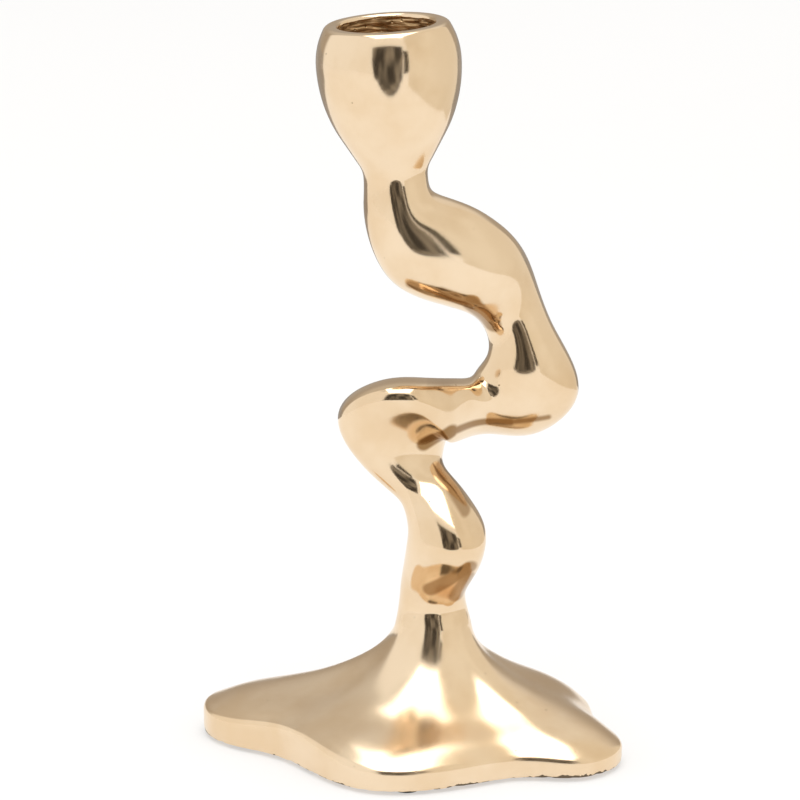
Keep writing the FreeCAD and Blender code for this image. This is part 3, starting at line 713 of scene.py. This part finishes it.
# Foot screw and washers
# A zinc-plated steel hexagon screw with a rolled thread goes up through the foot's boss into the
# stem. A flat washer spreads its load on the boss, and a split spring washer keeps it tight.
screw_radius, screw_length, head_across, head_height = 0.0030, 0.0350, 0.0100, 0.0040
washer_thickness, flat_radius, spring_radius, spring_slit = 0.0016, 0.0060, 0.0056, 0.0008
thread_pitch, thread_depth, end_chamfer, burr = 0.0010, 0.00055, 0.0006, 0.00015
screw_around, rings_per_pitch, spring_sections = 96, 10, 73
screw_face = boss_z - 2 * washer_thickness
zinc_bright, zinc_dull = (0.66, 0.66, 0.65, 1), (0.46, 0.46, 0.45, 1)


def zinc_plated_steel():
    """Steel with a thin bright zinc plating that has dulled in patches."""
    material, tree, place, shader = new_material("zinc_plated_steel")
    patches = noise(tree, place, 420.0, 4.0)
    dull = step_between(tree, patches, 0.38, 0.66)
    polish = grouped(tree, marks, Place=place, Fineness=1.6)
    set_inputs(tree, shader, {
        "Base Color": mix_colour(tree, dull, zinc_bright, zinc_dull),
        "Roughness": math_node(tree, "MULTIPLY_ADD", dull, 0.22, 0.24),
        "Metallic": 1.0, "Normal": relief(tree, 0.000003, polish["Height"])})
    return material


steel = zinc_plated_steel()
screw_turn = 2 * math.pi * np.arange(screw_around) / screw_around


def upright_ring(radii, heights):
    """A ring of points about the upright axis, with one radius and height or one for each point."""
    radii, heights = np.broadcast_to(radii, screw_around), np.broadcast_to(heights, screw_around)
    return np.column_stack([radii * np.cos(screw_turn), radii * np.sin(screw_turn), heights])


def shank_rings(low, high, low_chamfer):
    """Rings of a round shank, close enough together to take a thread, with chamfered ends."""
    start = low + (end_chamfer if low_chamfer else 0)
    if low_chamfer:
        yield upright_ring(screw_radius - end_chamfer, low)
    count = round((high - start) / thread_pitch * rings_per_pitch)
    for height in np.linspace(start, high - end_chamfer, count):
        yield upright_ring(screw_radius, height)
    yield upright_ring(screw_radius - end_chamfer, high)


def thread_tree():
    """Rolls a screw thread into the round shank of the starting mesh."""
    tree, given, out = geometry_tree("rolled_thread", {
        "Pitch": 0.001, "Depth": 0.0005, "Low": 0.0, "High": 0.01, "Run-out": 0.0008, "Steel": "Material"})
    spot = axes(tree, add_node(tree, "GeometryNodeInputPosition").outputs[0])
    turn = math_node(tree, "DIVIDE", math_node(tree, "ARCTAN2", spot["Y"], spot["X"]), -2 * math.pi)
    phase = math_node(tree, "ADD", math_node(tree, "DIVIDE", spot["Z"], given["Pitch"]), turn)
    groove = step_between(tree, math_node(tree, "PINGPONG", phase, 0.5), 0.06, 0.40)
    above = math_node(tree, "DIVIDE", math_node(tree, "SUBTRACT", spot["Z"], given["Low"]), given["Run-out"])
    below = math_node(tree, "DIVIDE", math_node(tree, "SUBTRACT", given["High"], spot["Z"]), given["Run-out"])
    nearest = math_node(tree, "MINIMUM", math_node(tree, "MINIMUM", above, below), 1.0)
    depth = product(tree, math_node(tree, "MAXIMUM", nearest, 0.0), given["Depth"])
    sunk = product(tree, groove, depth, -1.0)
    level = add_node(tree, "ShaderNodeCombineXYZ", {0: spot["X"], 1: spot["Y"]}).outputs[0]
    inward = vector_node(tree, "SCALE", vector_node(tree, "NORMALIZE", level), scale=sunk)
    moved = {"Geometry": given["Geometry"], "Offset": inward}
    end_tree(tree, out, add_node(tree, "GeometryNodeSetPosition", moved).outputs[0], given["Steel"])
    return tree


rolled_thread = thread_tree()


def threaded(name, rings, low, high):
    """A closed steel mesh over rings about the upright axis, with a thread between two heights."""
    blank = shell_mesh(f"{name}_blank", rings, [steel], [0] * (len(rings) - 1))
    sizes = {"Pitch": thread_pitch, "Depth": thread_depth, "Low": low, "High": high, "Run-out": thread_pitch}
    mesh = grown(name, blank, rolled_thread, Steel=steel, **sizes)
    smooth_outside(mesh)
    return mesh


def steel_piece(name, mesh, node):
    """A finished steel piece that stands for one node."""
    piece = linked_object(name, mesh)
    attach(piece, "root")
    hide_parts(node)


head_low, screw_tip = screw_face - head_height, screw_face + screw_length
hexagon = head_across / 2 / np.cos(screw_turn % (math.pi / 3) - math.pi / 6)
face_radius, corner_slope = head_across * 0.475, math.tan(math.radians(30))
head_rings = [
    upright_ring(face_radius, head_low),
    upright_ring(hexagon, head_low + (hexagon - face_radius) * corner_slope),
    upright_ring(hexagon, screw_face),
]
screw_rings = head_rings + list(shank_rings(screw_face, screw_tip, False))
screw_mesh = threaded("hexagon_screw", screw_rings, screw_face + 4 * thread_pitch, screw_tip - end_chamfer)
screw_foot = np.array([neck_x, 0, 0])
move_points(screw_mesh, mesh_points(screw_mesh) + screw_foot)
steel_piece("hexagon_screw", screw_mesh, "foot_screw")


def washer_section(outer, low):
    """Radius and height round a washer's section, from its hole, with slightly rounded rims."""
    inner, high = screw_way, low + washer_thickness
    radii = [inner, inner, inner + burr, outer - burr, outer, outer, outer - burr, inner + burr]
    heights = [low + burr, high - burr, high, high, high - burr, low + burr, low, low]
    return list(zip(radii, heights))


flat_section = washer_section(flat_radius, boss_z - washer_thickness)
flat_rings = [upright_ring(radius, height) + screw_foot for radius, height in flat_section]
flat_mesh = shell_mesh("plain_washer", flat_rings, [steel], [0] * len(flat_rings), loop=True)
steel_piece("plain_washer", flat_mesh, "flat_washer")

# The spring washer is a bent bar whose two ends face each other across the slit
opening, other_end = math.asin(spring_slit / screw_way), 2 * math.pi - 0.0005
bar = washer_section(spring_radius, screw_face)[::-1]
bar_sections = []
for angle in np.linspace(opening, other_end, spring_sections):
    bar_sections.append([(neck_x + r * math.cos(angle), r * math.sin(angle), z) for r, z in bar])
split_mesh = shell_mesh("split_washer", bar_sections, [steel], [0] * (spring_sections - 1))
steel_piece("split_washer", split_mesh, "spring_washer")

# Cup stud
# A headless zinc-plated steel stud, threaded from end to end, is driven into the top of the stem
# and draws the cup down on its seat.
stud_half = 0.0080
stud_rings = list(shank_rings(-stud_half, stud_half, True))
stud_mesh = threaded("threaded_stud", stud_rings, end_chamfer - stud_half, stud_half - end_chamfer)
tilt = np.array([
    [math.cos(cup_lean), 0, -math.sin(cup_lean)],
    [0, 1, 0],
    [math.sin(cup_lean), 0, math.cos(cup_lean)],
])
move_points(stud_mesh, mesh_points(stud_mesh) @ tilt.T + seat)
steel_piece("threaded_stud", stud_mesh, "cup_stud")

# Cup
# A goblet form, cast in brass and turned to shape, that leans a little over its seat. The candle
# socket inside keeps its cast skin, with ridges round it from the core.
waist_round, slope_share, belly_radius, belly_drop = 0.0065, 0.79, 0.01675, 0.0091
lip_radius, lip_drop, cup_height = 0.0146, 0.0008, 0.0359
socket_radius, socket_floor, mouth_round = 0.01125, 0.0129, 0.0008
cup_around = 224


def arc_points(centre, start, end, count):
    """Points of a circular arc in the cup's half section, by the shorter way round."""
    first = math.atan2(start[1] - centre[1], start[0] - centre[0])
    sweep = math.atan2(end[1] - centre[1], end[0] - centre[0]) - first
    sweep = (sweep + math.pi) % (2 * math.pi) - math.pi
    radius = math.dist(centre, start)
    for step in range(1, count + 1):
        angle = first + sweep * step / count
        yield (centre[0] + radius * math.cos(angle), centre[1] + radius * math.sin(angle))


def straight_points(start, end, count):
    for step in range(1, count + 1):
        share = step / count
        yield (start[0] + (end[0] - start[0]) * share, start[1] + (end[1] - start[1]) * share)


def cup_half_section():
    """The cup's half section from the tapped hole round the outside to the socket, with zones."""
    belly, lip = (belly_radius, cup_height - belly_drop), (lip_radius, cup_height - lip_drop)
    slope = 2 * math.atan((belly[0] - waist_radius) / belly[1]) * slope_share
    waist, waist_centre = (waist_radius, 0.0), (waist_radius + waist_round, 0.0)
    flare = (waist_centre[0] - waist_round * math.cos(slope), waist_round * math.sin(slope))
    run = math.sin(slope) * (belly[1] - flare[1]) - math.cos(slope) * (belly[0] - flare[0])
    lower = run / (1 - math.cos(slope))
    upper = math.dist(belly, lip) ** 2 / 2 / (belly[0] - lip[0])
    lower_centre, upper_centre = (belly[0] - lower, belly[1]), (belly[0] - upper, belly[1])
    side_top = (lower_centre[0] + lower * math.cos(slope), belly[1] - lower * math.sin(slope))
    lean = math.asin((lip[1] - belly[1]) / upper)
    lip_round = lip_drop / (1 - math.sin(lean))
    lip_centre = (lip[0] - lip_round * math.cos(lean), lip[1] - lip_round * math.sin(lean))
    mouth = (socket_radius + mouth_round, cup_height)
    mouth_centre = (mouth[0], cup_height - mouth_round)
    socket_top, socket_end = (socket_radius, mouth_centre[1]), (socket_radius, socket_floor)
    runs = [
        (1, [(0.0, stud_tap), (tap_radius, stud_tap)]),
        (1, straight_points((tap_radius, stud_tap), (tap_radius, 0.0), 4)),
        (1, straight_points((tap_radius, 0.0), waist, 2)),
        (0, arc_points(waist_centre, waist, flare, 16)),
        (0, straight_points(flare, side_top, 12)),
        (0, arc_points(lower_centre, side_top, belly, 50)),
        (0, arc_points(upper_centre, belly, lip, 26)),
        (0, arc_points(lip_centre, lip, (lip_centre[0], cup_height), 10)),
        (0, straight_points((lip_centre[0], cup_height), mouth, 6)),
        (0, arc_points(mouth_centre, mouth, socket_top, 10)),
        (1, straight_points(socket_top, socket_end, 110)),
        (1, straight_points(socket_end, (0.0, socket_floor), 12)),
    ]
    return [(x, z, zone) for zone, points in runs for x, z in points]


def turning_tree():
    """Turns a half section, drawn as a chain of edges, about the upright axis."""
    tree, given, out = geometry_tree("turned_form", {
        "Segments": 96, "Path": 0.001, "Weld": 1e-6, "Raw above": 0.75})
    profile = add_node(tree, "GeometryNodeMeshToCurve", {"Mesh": given["Geometry"]}).outputs[0]
    circle = {"Resolution": given["Segments"], "Radius": given["Path"]}
    path = add_node(tree, "GeometryNodeCurvePrimitiveCircle", circle).outputs["Curve"]
    swept = {"Curve": path, "Profile Curve": profile}
    turned = add_node(tree, "GeometryNodeCurveToMesh", swept).outputs[0]
    weld = {"Geometry": turned, "Distance": given["Weld"]}
    welded = add_node(tree, "GeometryNodeMergeByDistance", weld).outputs[0]
    named = add_node(tree, "GeometryNodeInputNamedAttribute", {"Name": "zone"}, data_type="FLOAT")
    zones = {0: named.outputs["Attribute"], 1: given["Raw above"]}
    is_raw = add_node(tree, "FunctionNodeCompare", zones, data_type="FLOAT", operation="GREATER_THAN")
    real = add_node(tree, "GeometryNodeRealizeInstances", {"Geometry": welded}).outputs[0]
    bright = add_node(tree, "GeometryNodeSetMaterial", {"Geometry": real, "Material": polished}).outputs[0]
    inputs = {"Geometry": bright, "Selection": is_raw.outputs[0], "Material": raw_cast}
    tree.links.new(add_node(tree, "GeometryNodeSetMaterial", inputs).outputs[0], out["Geometry"])
    return tree


half = cup_half_section()
path_radius = 0.001
chain = bpy.data.meshes.new("cup_half_section")
chain_edges = [(index, index + 1) for index in range(len(half) - 1)]
chain.from_pydata([(x - path_radius, -z, 0) for x, z, zone in half], chain_edges, [])
chain.attributes.new("zone", "FLOAT", "POINT").data.foreach_set("value", [zone for x, z, zone in half])
cup_mesh = grown("cup_casting", chain, turning_tree(), Segments=cup_around, Path=path_radius)
cup_points = mesh_points(cup_mesh)
smooth_outside(cup_mesh)
move_points(cup_mesh, cup_points @ tilt.T + seat)
spread, cup_heights = np.hypot(cup_points[:, 0], cup_points[:, 1]), cup_points[:, 2]
in_socket = (spread > socket_radius * 0.9) & (spread < socket_radius + 1e-5) & (cup_heights > socket_floor)
on_skin = (cup_heights > 0) & (spread > tap_radius * 1.1) & ~in_socket & (cup_heights != socket_floor)
ridge_depth, lump_depth, highest_ridge = 0.00007, 0.00004, 0.00005
ridges = unevenness(cup_points * [0.10, 0.10, 1], shortest=0.0005, longest=0.0011, seed=12)
lumps = unevenness(cup_points, shortest=0.0009, longest=0.003, seed=14)
ridges = ridge_depth * ridges + lump_depth * lumps
fade = np.clip(cup_heights / seam_blend, 0, 1)
ground = np.where(on_skin, fade * hand_grinding(mesh_points(cup_mesh)), 0)
dress(cup_mesh, np.where(in_socket, np.minimum(ridges, highest_ridge), ground))
cup_casting = linked_object("cup_casting", cup_mesh)
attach(cup_casting, "root")
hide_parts("candle_cup")

# Studio
# A pale table under a wide soft light, with bright cloth walls to both sides and a dim room
# behind. The gap between the walls, where the camera stands, shows dark in the metal. Cards that
# only the metal sees stand for the gap and the nearest cloth.
bpy.context.scene.view_settings.view_transform = "Standard"
floor_mesh = bpy.data.meshes.new("table")
table_corners = [(-1.2, -0.9, 0), (1.2, -0.9, 0), (1.2, 1.6, 0), (-1.2, 1.6, 0)]
floor_mesh.from_pydata(table_corners, [], [(0, 1, 2, 3)])
floor = linked_object("table", floor_mesh)
table_material, tree, place, shader = new_material("table")
set_inputs(tree, shader, {
    "Base Color": (0.42, 0.42, 0.42, 1), "Emission Color": (1.0, 1.0, 1.0, 1),
    "Emission Strength": 0.50, "Roughness": 0.7, "Specular IOR Level": 0.1})
floor_mesh.materials.append(table_material)

world = bpy.data.worlds.new("studio")
bpy.context.scene.world = world
world.use_nodes = True
tree = world.node_tree
tree.nodes.clear()
way = axes(tree, add_node(tree, "ShaderNodeTexCoord").outputs["Generated"])
azimuth = math_node(tree, "DEGREES", math_node(tree, "ARCTAN2", way["X"], product(tree, way["Y"], -1.0)))
elevation = math_node(tree, "DEGREES", math_node(tree, "ARCSINE", way["Z"]))


def window(value, low, high, soft):
    """A mask of 1 between two angles, with soft ends."""
    rise = step_between(tree, value, low - soft, low + soft)
    fall = step_between(tree, value, high + soft, high - soft)
    return product(tree, rise, fall)


walls = window(azimuth, -124, 136, 4.0)
side = step_between(tree, azimuth, 10, 75)
cloth = mix_colour(tree, side, (1.0, 0.99, 0.97, 1), (0.95, 0.94, 0.91, 1))
upper = step_between(tree, elevation, 12, 40)
behind = mix_colour(tree, upper, (0.45, 0.40, 0.34, 1), (0.64, 0.615, 0.58, 1))
lit_corner = product(tree, window(azimuth, 112, 166, 9.0), step_between(tree, elevation, 18, 38))
behind = mix_colour(tree, lit_corner, behind, (0.87, 0.84, 0.79, 1))
colour = mix_colour(tree, walls, behind, cloth)
colour = mix_colour(tree, step_between(tree, elevation, 58, 66), colour, (0.70, 0.68, 0.65, 1))
seen = add_node(tree, "ShaderNodeLightPath").outputs["Is Camera Ray"]
colour = mix_colour(tree, seen, colour, (0.96, 0.96, 0.96, 1))
glow = add_node(tree, "ShaderNodeBackground", {"Color": colour, "Strength": 1.0})
tree.links.new(glow.outputs[0], add_node(tree, "ShaderNodeOutputWorld").inputs["Surface"])


def facing(name, data, place, aim):
    """A lamp or a camera at a place, turned towards a point."""
    holder = linked_object(name, data)
    holder.location = place
    holder.rotation_euler = (Vector(aim) - Vector(place)).to_track_quat("-Z", "Y").to_euler()
    return holder


light = bpy.data.lights.new("top_light", "AREA")
light.shape, light.size, light.size_y, light.energy = "RECTANGLE", 1.7, 2.4, 30.0
facing("top_light", light, (0.0, -0.35, 2.2), (0, 0, 0.08))


def reflected_card(name, corners, material):
    """A flat card that only the metal's reflections see."""
    mesh = bpy.data.meshes.new(name)
    mesh.from_pydata(corners, [], [tuple(range(len(corners)))])
    mesh.materials.append(material)
    card = linked_object(name, mesh)
    card.visible_camera = card.visible_diffuse = card.visible_shadow = card.visible_transmission = False


def glowing(name, dark, light, scale, stretch):
    """A card's own soft glow, mottled between two colours."""
    material, tree, place, shader = new_material(name, "ShaderNodeEmission")
    mottle = step_between(tree, noise(tree, stretched(tree, place, stretch), scale, 1.5), 0.40, 0.72)
    tree.links.new(mix_colour(tree, mottle, dark, light), shader.inputs["Color"])
    return material


gap_distance, gap_left, gap_right, gap_top = 0.54, -0.232, 0.205, 0.53
gap_foot, gap_round, gap_steps = 0.17, 0.04, 12
top_left, top_right, just_above = -0.292, 0.225, 0.001
gap_outline = [(top_right, gap_top)]
for edge, order in ((gap_right, range(gap_steps + 1)), (gap_left, range(gap_steps, -1, -1))):
    inner = math.copysign(gap_foot, edge)
    for step in order:
        angle = math.pi / 2 * step / gap_steps
        gap_outline.append((inner + (edge - inner) * math.cos(angle), gap_round * (1 - math.sin(angle))))
gap_outline.append((top_left, gap_top))
dark_room = glowing("dark_room", (0.050, 0.044, 0.037, 1), (0.34, 0.31, 0.27, 1), 9.0, (1, 1, 0.25))
reflected_card("camera_gap", [(x, -gap_distance, z) for x, z in gap_outline], dark_room)
tongue = [(-gap_foot, -gap_distance), (-0.135, -0.45), (-0.085, -0.375), (-0.035, -0.325)]
tongue += [(0.0, -0.315)] + [(-x, y) for x, y in tongue[::-1]]
reflected_card("table_edge", [(x, y, just_above) for x, y in tongue], dark_room)
slit = [(0.232, 0.07), (0.345, 0.11), (0.345, 0.45), (0.232, 0.45)]
reflected_card("side_gap", [(x, -gap_distance, z) for x, z in slit], dark_room)
side_cloth = glowing("side_cloth", (0.84, 0.785, 0.69, 1), (0.92, 0.88, 0.80, 1), 3.0, (1, 1, 1))
cloth_line, cloth_top = [(0.245, -0.42), (0.262, -0.15), (0.276, 0.117), (0.21, 0.22)], 0.70
for part, (start, end) in enumerate(zip(cloth_line, cloth_line[1:]), start=1):
    corners = [(*start, just_above), (*end, just_above), (*end, cloth_top), (*start, cloth_top)]
    reflected_card(f"side_cloth_{part}", corners, side_cloth)
dim_table = glowing("dim_table", (0.36, 0.34, 0.32, 1), (0.44, 0.42, 0.40, 1), 3.0, (1, 1, 1))
back = [(-0.445, 0.30), (0.290, 0.30), (4.83, 5.0), (-7.41, 5.0)]
reflected_card("table_behind", [(x, y, just_above / 2) for x, y in back], dim_table)

view_place, view_target = (-0.0026, -1.2, 0.395907), (-0.0026, 0, 0.084403)
camera = facing("camera", bpy.data.cameras.new("camera"), view_place, view_target)
camera.data.lens = 240.1
camera.data.sensor_width = 36.0
camera.data.clip_end = 50.0
bpy.context.scene.camera = camera
